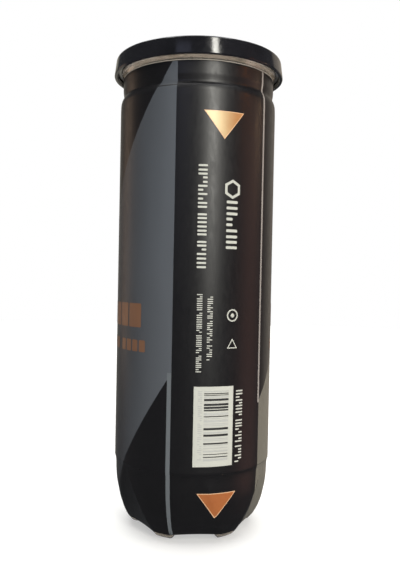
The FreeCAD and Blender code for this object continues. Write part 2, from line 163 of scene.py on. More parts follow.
@dataclass(frozen=True)
class Finish:
    """One surface: what it is made of and how that surface was made.

    The mottle varies the colour toward the light one, the wear varies the roughness over its span,
    and the relief raises the skin, coarse marks first, each with its height.  What is named in
    "also" is set on the shader's own inputs.
    """

    name: str
    colour: str
    roughness: float
    ior: float = 1.5
    metallic: float = 0.0
    light: str = ""
    # Painted light and shade: a gradient across the ink area, from one level of the ramp to another.
    painted_light_fade: tuple[float, float] | None = None
    mottle: Marks | None = None
    wear: Marks | None = None
    wear_span: tuple[float, float] = (0.0, 0.0)
    relief: tuple[tuple[Marks, float], ...] = ()
    also: tuple[tuple[str, float], ...] = ()

    @cached_property
    def material(self) -> bpy.types.Material:
        """Make the Blender material of this finish, once.

        Returns:
            The material.
        """
        made = bpy.data.materials.new(self.name)
        made.use_nodes = True
        made.diffuse_color = linear(self.colour)
        tree = made.node_tree
        shader = tree.nodes["Principled BSDF"]
        shader.inputs["Base Color"].default_value = linear(self.colour)
        shader.inputs["Roughness"].default_value = self.roughness
        shader.inputs["Metallic"].default_value = self.metallic
        if not self.metallic:
            shader.inputs["IOR"].default_value = self.ior
        for name, value in self.also:
            shader.inputs[name].default_value = value
        self.dress(tree, shader)
        return made

    def dress(self, tree: Tree, shader: Node) -> None:
        """Add the colour, wear and relief that this surface shows.

        Args:
            tree: Node tree of the material.
            shader: Its Principled shader.
        """
        if self.mottle:
            fac = self.mottle.lay(tree).outputs["Fac"]
            self.tint(tree, shader, self.with_painted_light(tree, fac) if self.painted_light_fade else fac, self.colour, self.light)
        if self.wear:
            low, high = (self.roughness + change for change in self.wear_span)
            links = {"Value": self.wear.lay(tree).outputs["Fac"], "To Min": low, "To Max": high}
            links.update({"From Min": LOW_MARK, "From Max": HIGH_MARK})
            spread = add(tree, "ShaderNodeMapRange", links)
            tree.links.new(spread.outputs["Result"], shader.inputs["Roughness"])
        if self.relief:
            layers = [(marks.lay(tree).outputs["Fac"], high) for marks, high in self.relief]
            self.raise_skin(tree, shader, layers)

    def with_painted_light(self, tree: Tree, fac: Socket) -> Socket:
        """Blend the mottle with a painted gradient of light and shade, from the left edge of the ink area
        to the right one.

        Args:
            tree: Node tree that takes the nodes.
            fac: Socket with the ink's own mottle.

        Returns:
            Socket with the blended value.
        """
        start, end = self.painted_light_fade
        place = add(tree, "ShaderNodeTexCoord").outputs["UV"]
        across = add(tree, "ShaderNodeSeparateXYZ", {"Vector": place}).outputs["X"]
        painted_light_fade = add(tree, "ShaderNodeMapRange", {"Value": across, "To Min": start, "To Max": end})
        links = {"Factor": PAINTED_LIGHT_SHARE, "A": fac, "B": painted_light_fade.outputs["Result"]}
        return add(tree, "ShaderNodeMix", links).outputs["Result"]

    def tint(self, tree: Tree, shader: Node, fac: Socket,
             dark: str, light: str) -> None:
        """Vary the base colour between two colours.

        Args:
            tree: Node tree of the material.
            shader: Its Principled shader.
            fac: Socket that says where the surface is light.
            dark: Hex colour at the low end.
            light: Hex colour at the high end.
        """
        ramp = add(tree, "ShaderNodeValToRGB", {"Fac": fac})
        ends = zip(ramp.color_ramp.elements, (LOW_MARK, HIGH_MARK), (dark, light))
        for element, position, colour in ends:
            element.position, element.color = position, linear(colour)
        tree.links.new(ramp.outputs["Color"], shader.inputs["Base Color"])

    def raise_skin(self, tree: Tree, shader: Node,
                   layers: list[tuple[Socket, float]]) -> None:
        """Stack reliefs on the skin.

        Args:
            tree: Node tree of the material.
            shader: Its Principled shader.
            layers: Pairs of a height from 0 to 1 and what 1 is in metres, coarse first.
        """
        under: dict[str, Socket] = {}
        for height, high in layers:
            links = {"Height": height, "Distance": high, "Strength": 1.0, **under}
            under = {"Normal": add(tree, "ShaderNodeBump", links).outputs["Normal"]}
        tree.links.new(under["Normal"], shader.inputs["Normal"])


@dataclass(frozen=True)
class ShrinkFilm(Finish):
    """PETG shrink film, reverse printed with one ink and shrunk on with hot air.

    The print lies under clear film with a satin outside, so the eye sees flat ink colour, a soft
    broad sheen, and the slow ripple and small scuffs that shrinking and handling leave.
    """

    ior: float = 1.53
    mottle: Marks = Marks(30 * MM, (1.0, 1.0, 2.2), 3.0)
    wear: Marks = Marks(1.6 * MM, (1.0, 1.0, 3.0), 6.0, 0.7)
    wear_span: tuple[float, float] = (-0.05, 0.08)
    relief: tuple[tuple[Marks, float], ...] = (
        (Marks(16 * MM, (1.0, 1.0, 3.5), 1.5), 0.10 * MM),
        (Marks(0.9 * MM, detail=4.0), 0.004 * MM),
    )


@dataclass(frozen=True)
class ClearPet(Finish):
    """Stretch-blown clear PET: glass clear, with the faint ripple of blowing and a smoky tint."""

    ior: float = 1.575
    relief: tuple[tuple[Marks, float], ...] = ((Marks(9 * MM, (1.0, 1.0, 2.0)), 0.05 * MM),)
    also: tuple[tuple[str, float], ...] = (("Transmission Weight", 1.0),)


@dataclass(frozen=True)
class MouldedCap(Finish):
    """Injection-moulded black polypropylene from a polished tool.

    It is a deep glossy black with sharp reflections, very slightly wavy where the skirt shrank,
    with dust-fine handling scratches that only show in the highlights.
    """

    ior: float = 1.49
    mottle: Marks = Marks(22 * MM)
    wear: Marks = Marks(2.5 * MM, detail=8.0, roughness=0.72)
    wear_span: tuple[float, float] = (-0.048, 0.084)
    relief: tuple[tuple[Marks, float], ...] = ((Marks(12 * MM, (1.0, 1.0, 1.5), 1.0), 0.05 * MM),)


# Rolling lines run along X and are a few hundredths of a millimetre apart; they are drawn coarser to show.
ROLLING = Marks(0.35 * MM, (60.0, 1.0, 1.0), 4.0, 0.6)


@dataclass(frozen=True)
class RolledSheet(Finish):
    """Rolled aluminium sheet, lacquered and stamped: soft bright metal with fine straight rolling lines."""

    metallic: float = 1.0
    light: str = "#e6e6e8"
    mottle: Marks = Marks(8 * MM, detail=4.0)
    wear: Marks = ROLLING
    wear_span: tuple[float, float] = (-0.06, 0.1)
    relief: tuple[tuple[Marks, float], ...] = ((ROLLING, 0.003 * MM),)


@dataclass(frozen=True)
class Felt(Finish):
    """Needled wool and nylon felt, dyed optic yellow: matted fibres with a pale halo at the edges.

    The fibres are drawn about ten times their real width, so that they show.
    """

    dark: str = "#a9b81c"
    halo: str = "#f2ff8c"
    swirl: Marks = Marks(3 * MM)
    fibre: float = 0.7 * MM
    bend: float = 0.004
    swirl_height: float = 0.5 * MM
    fibre_height: float = 0.35 * MM
    also: tuple[tuple[str, float], ...] = (("Sheen Weight", 0.6), ("Sheen Roughness", 0.5))

    def dress(self, tree: Tree, shader: Node) -> None:
        """Tangle the fibres in colour and height, and tint their sheen.

        Args:
            tree: Node tree of the material.
            shader: Its Principled shader.
        """
        swirl = self.swirl.lay(tree)
        place = add(tree, "ShaderNodeTexCoord").outputs["Object"]
        links = {"A": place, "B": swirl.outputs["Color"], "Factor": self.bend}
        bent = add(tree, "ShaderNodeMix", links, data_type="VECTOR").outputs["Result"]
        links = {"Vector": bent, "Scale": 1 / self.fibre, "Detail": 7.0, "Roughness": 0.75}
        tangle = add(tree, "ShaderNodeTexNoise", links).outputs["Fac"]
        self.tint(tree, shader, tangle, self.dark, self.light)
        shader.inputs["Sheen Tint"].default_value = linear(self.halo)
        heights = [(swirl.outputs["Fac"], self.swirl_height), (tangle, self.fibre_height)]
        self.raise_skin(tree, shader, heights)


@dataclass(frozen=True)
class Rubber(Finish):
    """Cured rubber from a mould: matt, slightly dusty, with a fine orange-peel skin."""

    ior: float = 1.52
    mottle: Marks = Marks(5 * MM, detail=5.0)
    relief: tuple[tuple[Marks, float], ...] = ((Marks(0.6 * MM, detail=3.0), 0.03 * MM),)


@dataclass(frozen=True)
class MetalInk(Finish):
    """Bronze-powder ink printed under the film: leafed metal flakes under a coat of clear satin film.

    The flakes lie flat, so the ink is pale where the light falls on it and deeper away from it; the ink of
    the top triangles has this painted in, as a paler copy with a painted highlight.
    """

    mottle: Marks = Marks(9 * MM, detail=4.0, roughness=0.6)
    relief: tuple[tuple[Marks, float], ...] = ((Marks(0.4 * MM, detail=3.0), 0.006 * MM),)
    also: tuple[tuple[str, float], ...] = (("Coat Weight", 0.5), ("Coat Roughness", 0.3))


PET = ClearPet("clear_blown_pet", "#c6beb4", 0.04)
BLACK_FILM = ShrinkFilm("shrink_film_black", "#100f12", 0.35, light="#131215")
# Painted shading: this ink is darker at the panel's left edge and lighter toward its right, where light
# from the front right falls.
GREY_FILM_PAINTED_SHADE = ShrinkFilm("shrink_film_blue_grey_painted_shade", "#34363a", 0.38, light="#50545a", painted_light_fade=(0.0, 0.8))
WARM_FILM = ShrinkFilm("shrink_film_warm_grey", "#66635a", 0.42, light="#716e64")
LINE_FILM = ShrinkFilm("shrink_film_pale_line", "#8e8884", 0.40, light="#9a948f")
EDGE_LINE_FILM = ShrinkFilm("shrink_film_grey_line", "#5c6165", 0.40, light="#64696d")
CLEAR_FILM = ShrinkFilm("shrink_film_clear_edge", "#a49c90", 0.28, light="#b3aba0")
WHITE_FILM = ShrinkFilm("shrink_film_white", "#b6b7ae", 0.42, light="#c0c1b8")
INK_FILM = ShrinkFilm("shrink_film_dark_marks", "#1b1b1d", 0.42, light="#2a2a2c")
GREY_INK_FILM = ShrinkFilm("shrink_film_grey_marks", "#a5a6a2", 0.42, light="#b3b4b0")
COPPER_ON_GREY = ShrinkFilm("copper_ink_on_grey", "#6b4a35", 0.38, light="#76533c")
COPPER_LINE = ShrinkFilm("copper_outline", "#dcae84", 0.36, light="#e6bd95")
# A lit copy of the copper ink: paler, with a painted highlight that goes from pale at the left to deeper
# copper at the right.
COPPER_PAINTED_HIGHLIGHT = MetalInk("copper_ink_painted_highlight", "#b98350", 0.45, metallic=0.2, light="#dccb9c", painted_light_fade=(0.8, 0.15))
COPPER = MetalInk("copper_ink", "#b3642c", 0.45, metallic=0.25, light="#bd723a")
END_METAL = RolledSheet("lacquered_aluminium_end", "#a8a39a", 0.30)
TAB_METAL = RolledSheet("rolled_aluminium_tab", "#c2c2c6", 0.22)
CAP_PLASTIC = MouldedCap("moulded_black_polypropylene", "#0d0d10", 0.12, light="#19191d")
GASKET = Rubber("sealing_compound", "#7d776a", 0.7, light="#8c8678")
CORE_RUBBER = Rubber("cured_black_rubber", "#1e1d1c", 0.75, light="#2c2a28")
GLUE = Rubber("vulcanised_glue_line", "#d7d5c6", 0.65, light="#e6e4d6")
FELT = Felt("needled_yellow_felt", "#c9d62c", 0.95, light="#e6f04a")


# ---------------------------------------------------------------- mesh helpers


def finish_piece(obj: Obj, body: Body, slot: Slot, finish: Finish, *nodes: str) -> Obj:
    """Dress a piece, ride it on its body and hide the CAD nodes that it replaces.

    Args:
        obj: Piece in place in the frame.
        body: CAD body that carries it.
        slot: Material slot of the record; not used.
        finish: Surface of the piece.
        *nodes: CAD nodes that the piece replaces.

    Returns:
        The same piece.
    """
    obj.data.materials.append(finish.material)
    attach(obj, body.value)
    if nodes:
        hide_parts(*nodes)
    LOG.info("%s rides on %s with %d faces", obj.name, body.value, len(obj.data.polygons))
    return obj


def new_object(name: str, mesh: bpy.types.Mesh) -> Obj:
    """Link a mesh into the scene as a named object.

    Args:
        name: Name of the object.
        mesh: Its mesh.

    Returns:
        The object.
    """
    obj = bpy.data.objects.new(name, mesh)
    bpy.context.collection.objects.link(obj)
    return obj


def grid_object(name: str, rings: np.ndarray, joined: bool) -> Obj:
    """Skin closed rings of points with quads.

    Args:
        name: Name of the object.
        rings: Points as rings by points by three; every ring closes on itself.
        joined: Whether the last ring is joined back to the first.

    Returns:
        The object, smooth shaded, with double points merged.
    """
    count, around = rings.shape[:2]
    rows = np.arange(count if joined else count - 1)[:, None]
    here, after = np.arange(around)[None, :], (np.arange(around)[None, :] + 1) % around
    low, up = rows * around, (rows + 1) % count * around
    faces = np.stack([low + here, low + after, up + after, up + here], axis=-1).reshape(-1, 4)
    mesh = bpy.data.meshes.new(name)
    mesh.from_pydata(rings.reshape(-1, 3).tolist(), [], faces.tolist())
    work = bmesh.new()
    work.from_mesh(mesh)
    bmesh.ops.remove_doubles(work, verts=work.verts, dist=1e-7)
    bmesh.ops.recalc_face_normals(work, faces=work.faces)
    work.to_mesh(mesh)
    work.free()
    mesh.shade_smooth()
    return new_object(name, mesh)


def lathe(name: str, outline: Outline, around: int = 256) -> Obj:
    """Turn a closed outline of radius and height about the can's axis.

    Args:
        name: Name of the object.
        outline: Pairs of radius and height.
        around: Points on each ring.

    Returns:
        The turned object.
    """
    angle = np.arange(around) * 2 * math.pi / around
    radius, height = (column[:, None] for column in np.array(outline).T)
    level = np.repeat(height, around, axis=1)
    rings = np.stack([radius * np.sin(angle), -radius * np.cos(angle), level], axis=-1)
    return grid_object(name, rings, joined=True)


def rounded(points: Outline, bend: float, steps: int = 5, closed: bool = True) -> Outline:
    """Round the corners of an outline with arcs.

    Args:
        points: Corners of the outline.
        bend: Radius wanted at each corner, less where the sides are short.
        steps: Points on each arc.
        closed: Whether the outline closes on itself.

    Returns:
        The rounded outline.
    """
    made: Outline = []
    count = len(points)
    nearly_straight, most = math.radians(88), 0.45
    for i, corner in enumerate(points):
        if not closed and i in (0, count - 1):
            made.append(corner)
            continue
        here = Vector(corner)
        before, after = Vector(points[i - 1]) - here, Vector(points[(i + 1) % count]) - here
        if before.length < 1e-9 or after.length < 1e-9:
            continue
        half = before.angle(after) / 2
        if half > nearly_straight:
            made.append(corner)
            continue
        room = most * min(before.length, after.length)
        reach = min(bend / math.tan(half), room)
        start, end = here + before.normalized() * reach, here + after.normalized() * reach
        for step in range(steps + 1):
            t = step / steps
            p = start * (1 - t) ** 2 + here * 2 * t * (1 - t) + end * t * t
            made.append((p.x, p.y))
    return made


def smooth_line(knots: Outline, at: np.ndarray) -> np.ndarray:
    """Read a smooth curve through knots, flat beyond both ends.

    Args:
        knots: Pairs of place and value, places rising.
        at: Places to read.

    Returns:
        Values at those places.
    """
    place, value = np.array(knots).T
    slope = np.gradient(value, place)
    slope[0] = slope[-1] = 0.0
    i = np.clip(np.searchsorted(place, at) - 1, 0, len(place) - 2)
    width = place[i + 1] - place[i]
    t = np.clip((at - place[i]) / width, 0, 1)
    first = (1 + 2 * t) * (1 - t) ** 2 * value[i] + t * (1 - t) ** 2 * width * slope[i]
    return first + t * t * (3 - 2 * t) * value[i + 1] + t * t * (t - 1) * width * slope[i + 1]


# ---------------------------------------------------------------- bottle and film


@dataclass
class Wall:
    """Outside of the shrunk film: straight wall, groove and neck above, six feet below."""

    radius: float
    neck_radius: float
    top: float
    foot_edge: float
    feet: int = 6
    foot_turn: float = math.radians(35)
    foot_rise: float = 32 * MM
    facet_half: float = math.radians(22)
    facet_sag: float = 0.7 * MM
    facet_growth: float = 0.8
    facet_edge: float = 0.3 * MM
    # Groove and neck: drop below the film's upper edge, and share of the step from the wall to the neck.
    neck_line: tuple[Point2, ...] = (
        (17.0 * MM, 0.0), (14.2 * MM, 0.05), (12.2 * MM, 0.2), (10.7 * MM, 0.65),
        (9.6 * MM, 1.24), (8.9 * MM, 1.34), (7.9 * MM, 1.25), (5.6 * MM, 1.0),
    )
    # Side of a foot: share of the feet's height, and how far it lies inside the straight wall.
    pad_inset: float = 10.2 * MM
    edge_inset: float = 7.1 * MM
    foot_side: tuple[Point2, ...] = (
        (0.17, 5.85 * MM), (0.24, 4.75 * MM), (0.33, 3.7 * MM), (0.42, 2.8 * MM),
        (0.52, 2.1 * MM), (0.66, 1.2 * MM), (0.80, 0.75 * MM),
    )
    # Crease where the feet run out: height from the top of the feet, and how far inside the wall.
    crease: tuple[Point2, ...] = (
        (-1.0 * MM, 0.50 * MM), (0.1 * MM, 0.34 * MM), (0.9 * MM, 0.05 * MM), (2.4 * MM, 0.0),
    )

    def neck(self, z: np.ndarray) -> np.ndarray:
        """Read the wall round the groove and the neck.

        Args:
            z: Heights.

        Returns:
            Radius at each height.
        """
        step = self.radius - self.neck_radius
        knots = [(self.top - drop, self.radius - share * step) for drop, share in self.neck_line]
        return smooth_line(knots, z)

    def lobe(self, z: np.ndarray) -> np.ndarray:
        """Read the wall over the middle of a foot.

        Args:
            z: Heights.

        Returns:
            Radius at each height.
        """
        insets = [(0.0, self.pad_inset), (self.foot_edge, self.edge_inset)]
        insets += [(self.foot_rise * share, inset) for share, inset in self.foot_side]
        insets += [(self.foot_rise + rise, inset) for rise, inset in self.crease]
        return smooth_line([(height, self.radius - inset) for height, inset in insets], z)

    def from_valley(self, angle: np.ndarray) -> np.ndarray:
        """Signed angle from the nearest valley between two feet."""
        pitch = 2 * math.pi / self.feet
        return (angle - self.foot_turn) % pitch - pitch / 2

    def reach(self, angle: np.ndarray, z: np.ndarray) -> np.ndarray:
        """Radius of the film's outside.

        Args:
            angle: Angles round the can.
            z: Heights, in the same shape.

        Returns:
            Radius where the film lies, drawn flat across the valleys between the feet.
        """
        body = np.where(z > self.top / 2, self.neck(z), self.lobe(z))
        fall = np.clip((self.foot_rise - z) / (self.foot_rise - self.foot_edge), 0, 1.2)
        valley = self.from_valley(angle)
        half = self.facet_half * fall**self.facet_growth + 1e-4
        flat = body * np.cos(half) / np.cos(np.minimum(np.abs(valley), 1.2))
        sag = self.facet_sag * fall * np.clip(1 - (valley / half) ** 2, 0, 1)
        soft = self.facet_edge * fall + 1e-6
        gap = np.clip(1 - np.abs(body - flat) / soft, 0, 1)
        return np.minimum(body, flat) - gap * gap * soft / 4 - sag

    def spot(self, angle: np.ndarray, z: np.ndarray, out: float = 0.0) -> np.ndarray:
        """Points on the film's outside, moved outward by a distance."""
        r = self.reach(angle, z) + out
        return np.stack([r * np.sin(angle), -r * np.cos(angle), z], axis=-1)

    def normal(self, angle: np.ndarray, z: np.ndarray) -> np.ndarray:
        """Find which way the film's outside faces.

        Args:
            angle: Angles round the can.
            z: Heights, in the same shape.

        Returns:
            Outward unit normals of the film.
        """
        step = 0.1 * MM
        turn = step / self.radius
        ahead = self.spot(angle + turn, z) - self.spot(angle - turn, z)
        up = self.spot(angle, z + step) - self.spot(angle, z - step)
        out = np.cross(ahead, up)
        return out / np.linalg.norm(out, axis=-1, keepdims=True)

    def heights(self, low: float, high: float) -> np.ndarray:
        """Choose heights for rings: close together where the wall curves, far apart where it is straight.

        Args:
            low: Lowest ring.
            high: Highest ring.

        Returns:
            The heights, rising.
        """
        base = np.arange(low, self.foot_rise + 4 * MM, 0.6 * MM)
        straight = np.linspace(self.foot_rise + 5 * MM, self.top - 19 * MM, 24)
        neck = np.arange(self.top - 18.4 * MM, high, 0.3 * MM)
        return np.concatenate([base, straight, neck, [high]])


@dataclass
class Sleeve:
    """Printed shrink film as a thin shell."""

    wall: Wall
    thickness: float = 0.12 * MM
    margin: float = 0.45 * MM
    around: int = 360

    def build(self) -> None:
        """Make the inked film and the clear margin above it."""
        ink_top = self.wall.top - self.margin
        inked = self.shell("film_sleeve", self.wall.heights(self.wall.foot_edge, ink_top))
        finish_piece(inked, Body.CAN, Slot.FILM, BLACK_FILM, "printed_sleeve")
        edge = self.shell("film_clear_margin", np.linspace(ink_top, self.wall.top, 4))
        finish_piece(edge, Body.CAN, Slot.FILM, CLEAR_FILM)

    def shell(self, name: str, heights: np.ndarray) -> Obj:
        """Make a thin closed shell of film.

        Args:
            name: Name of the piece.
            heights: Heights of its rings.

        Returns:
            The shell.
        """
        angle = np.arange(self.around) * 2 * math.pi / self.around
        grid_angle, grid_z = np.meshgrid(angle, heights)
        outer = self.wall.spot(grid_angle, grid_z)
        inner = self.wall.spot(grid_angle, grid_z, -self.thickness)[::-1]
        return grid_object(name, np.concatenate([outer, inner]), joined=True)


@dataclass
class Bottle:
    """Clear blown bottle: dome, six hollow feet, wall, neck and the flare into the seam."""

    wall: Wall
    film: float
    seam_wall: float
    seam_low: float
    top: float
    thickness: float = 0.65 * MM
    valley_floor: float = 4.8 * MM
    foot_radius: float = 23.3 * MM
    pad_half: float = 1.5 * MM
    hub: float = 8 * MM
    strap_half: float = 1.4 * MM
    strap_blend: float = 11 * MM
    turn_steps: tuple[Point2, ...] = ((0.0, 0.0), (1.6 * MM, 0.35 * MM), (3.3 * MM, 1.35 * MM))
    flank_height: float = 0.52
    neck_flare: float = 0.25 * MM
    flare_rise: float = 0.6 * MM
    hook_inset: float = 0.45 * MM
    hook_drop: float = 0.7 * MM
    hook_thin: float = 0.62
    around: int = 360

    def foot_line(self, r: np.ndarray) -> np.ndarray:
        """Read the underside through the middle of a foot.

        Args:
            r: Radii.

        Returns:
            Height of the underside at each radius.
        """
        big = self.wall.radius - self.film
        low = np.linspace(self.wall.foot_edge, self.wall.foot_rise + 3 * MM, 40)
        side = self.wall.lobe(low) - self.film
        pad_out, pad_in = self.foot_radius + self.pad_half, self.foot_radius - self.pad_half
        middle_z, hub_z = self.dome(np.array([0.0, self.hub]))
        knots = [(0.0, middle_z), (self.hub, hub_z), ((self.hub + pad_in) / 2, hub_z * self.flank_height)]
        knots += [(pad_in, 0.0)] + [(pad_out + out, rise) for out, rise in self.turn_steps]
        knots += [(float(a), float(b)) for a, b in zip(side, low) if a < big - 1e-6]
        place, value = np.array(sorted(knots)).T
        return np.interp(r, place, value)

    def dome(self, r: np.ndarray) -> np.ndarray:
        """Height at each radius of the dome that the feet grow out of."""
        big = self.wall.radius - self.film
        return self.valley_floor + big - np.sqrt(np.maximum(big * big - r * r, 0))

    def base_rings(self, angle: np.ndarray) -> np.ndarray:
        """Place the outside from the middle of the base up to the top of the dome.

        Args:
            angle: Angles of the points on a ring.

        Returns:
            Points as rings by points by three.
        """
        big = self.wall.radius - self.film
        lift = np.linspace(0, math.pi / 2, 90)
        radius = np.maximum(big * np.sin(lift), TINY)
        r, a = np.meshgrid(radius, angle, indexing="ij")
        across = r * np.sin(np.abs(self.wall.from_valley(a)))
        blend = np.clip((across - self.strap_half) / (self.strap_blend - self.strap_half), 0, 1)
        blend = blend * blend * (3 - 2 * blend)
        z = self.dome(r) * (1 - blend) + self.foot_line(r) * blend
        limit = self.wall.reach(a, np.maximum(z, self.wall.foot_edge)) - self.film
        r = np.where(z > self.wall.foot_edge * 0.8, np.minimum(r, limit), r)
        return np.stack([r * np.sin(a), -r * np.cos(a), z], axis=-1)

    def build(self) -> Obj:
        """Make the bottle as one closed shell.

        Returns:
            The dressed piece.
        """
        angle = np.arange(self.around) * 2 * math.pi / self.around
        base = self.base_rings(angle)
        dome_top = float(base[-1, :, 2].max())
        heights = self.wall.heights(self.wall.foot_edge, self.wall.top)
        heights = heights[heights > dome_top + 1 * MM]
        grid_angle, grid_z = np.meshgrid(angle, heights)
        side = self.wall.spot(grid_angle, grid_z, -self.film)
        flare = [
            (self.wall.neck_radius - self.film + self.neck_flare, self.wall.top + self.flare_rise, 1.0),
            (self.seam_wall - self.hook_inset, self.seam_low - self.hook_drop, 0.8),
            (self.seam_wall, self.seam_low + 0.1 * MM, self.hook_thin),
            (self.seam_wall, self.top, self.hook_thin),
        ]
        rings = [
            np.stack([r * np.sin(angle), -r * np.cos(angle), np.full(self.around, z)], axis=-1)
            for r, z, _ in flare
        ]
        outer = np.concatenate([base, side, np.array(rings)])
        depth = np.full(len(outer), self.thickness)
        depth[-len(flare):] = [self.thickness * share for _, _, share in flare]
        inner = outer - self.normals(outer) * depth[:, None, None]
        obj = grid_object("bottle", np.concatenate([outer, inner[::-1]]), joined=False)
        return finish_piece(obj, Body.CAN, Slot.PET, PET, "pet_body")

    def normals(self, rings: np.ndarray) -> np.ndarray:
        """Find which way a skin of rings faces.

        Args:
            rings: Points as rings by points by three.

        Returns:
            Outward unit normals, in the same shape.
        """
        up = np.gradient(rings, axis=0)
        round_step = np.roll(rings, -1, axis=1) - np.roll(rings, 1, axis=1)
        out = np.cross(round_step, up)
        size = np.linalg.norm(out, axis=-1, keepdims=True)
        out = out / np.maximum(size, 1e-12)
        out[0] = np.array([0.0, 0.0, -1.0])
        return out


# ---------------------------------------------------------------- the print


@dataclass
class Print:
    """Ink areas of the film, each a thin skin wrapped on the wall.

    Outlines are given flat: distance round the wall from the front, and height.
    """

    wall: Wall
    lift: float = 0.025 * MM
    strip: float = 1.0 * MM
    foot_reach: float = 4 * MM
    neck_reach: float = 24 * MM

    def wrap(self, name: str, outlines: list[Outline], finish: Finish, layer: int = 1) -> Obj:
        """Wrap flat outlines on the film.

        Args:
            name: Name of the piece.
            outlines: Closed outlines in millimetres round and up.
            finish: Ink.
            layer: Count of ink layers below this one, plus one.

        Returns:
            The dressed piece.
        """
        work = bmesh.new()
        across = work.loops.layers.uv.new("UVMap")
        for outline in outlines:
            face = work.faces.new([work.verts.new((s * MM, z * MM, 0)) for s, z in outline])
            low, high = np.min(outline, axis=0), np.max(outline, axis=0)
            for loop, spot in zip(face.loops, outline):
                loop[across].uv = (np.array(spot) - low) / (high - low)
        bmesh.ops.recalc_face_normals(work, faces=work.faces)
        for face in work.faces:
            if face.normal.z < 0:
                face.normal_flip()
        self.slice(work, 0)
        lowest, highest = (pick(z for outline in outlines for _, z in outline) * MM for pick in (min, max))
        if lowest < self.wall.foot_rise + self.foot_reach or highest > self.wall.top - self.neck_reach:
            self.slice(work, 1)
        bmesh.ops.triangulate(work, faces=work.faces)
        flat = np.array([v.co for v in work.verts]).reshape(-1, 3)
        angle = flat[:, 0] / self.wall.radius
        for vert, place in zip(work.verts, self.wall.spot(angle, flat[:, 1], self.lift * layer)):
            vert.co = place
        mesh = bpy.data.meshes.new(name)
        work.to_mesh(mesh)
        work.free()
        mesh.shade_smooth()
        mesh.normals_split_custom_set_from_vertices(self.wall.normal(angle, flat[:, 1]).tolist())
        return finish_piece(new_object(name, mesh), Body.CAN, Slot.FILM, finish)

    def slice(self, work: bmesh.types.BMesh, axis: int) -> None:
        """Cut flat faces into strips so that they can bend.

        Args:
            work: Mesh with the flat faces.
            axis: 0 cuts across the way round, 1 across the height.
        """
        values = [v.co[axis] for v in work.verts]
        normal = Vector((1, 0, 0)) if axis == 0 else Vector((0, 1, 0))
        for k in range(math.ceil(min(values) / self.strip), math.floor(max(values) / self.strip) + 1):
            geom = list(work.verts) + list(work.edges) + list(work.faces)
            cut = normal * k * self.strip
            bmesh.ops.bisect_plane(work, geom=geom, plane_co=cut, plane_no=normal, dist=1e-8)

    @staticmethod
    def box(s0: float, z0: float, s1: float, z1: float, bend: float = 0.0) -> Outline:
        """Rectangle between two corners, with round corners if a bend is given."""
        corners = [(s0, z0), (s1, z0), (s1, z1), (s0, z1)]
        return rounded(corners, bend, 4) if bend else corners

    @staticmethod
    def ring(
        s: float, z: float, outer: float, inner: float, sides: int, turn: float = 0.0
    ) -> list[Outline]:
        """Draw a ring with straight sides.

        Args:
            s: Middle, round the wall.
            z: Middle, in height.
            outer: Radius of its outer corners.
            inner: Radius of its inner corners.
            sides: Number of sides.
            turn: Angle of its first corner.

        Returns:
            One outline for each side.
        """
        made = []
        for i in range(sides):
            a, b = (turn + 2 * math.pi * k / sides for k in (i, i + 1))
            corners = ((inner, a), (outer, a), (outer, b), (inner, b))
            made.append([(s + r * math.cos(angle), z + r * math.sin(angle)) for r, angle in corners])
        return made


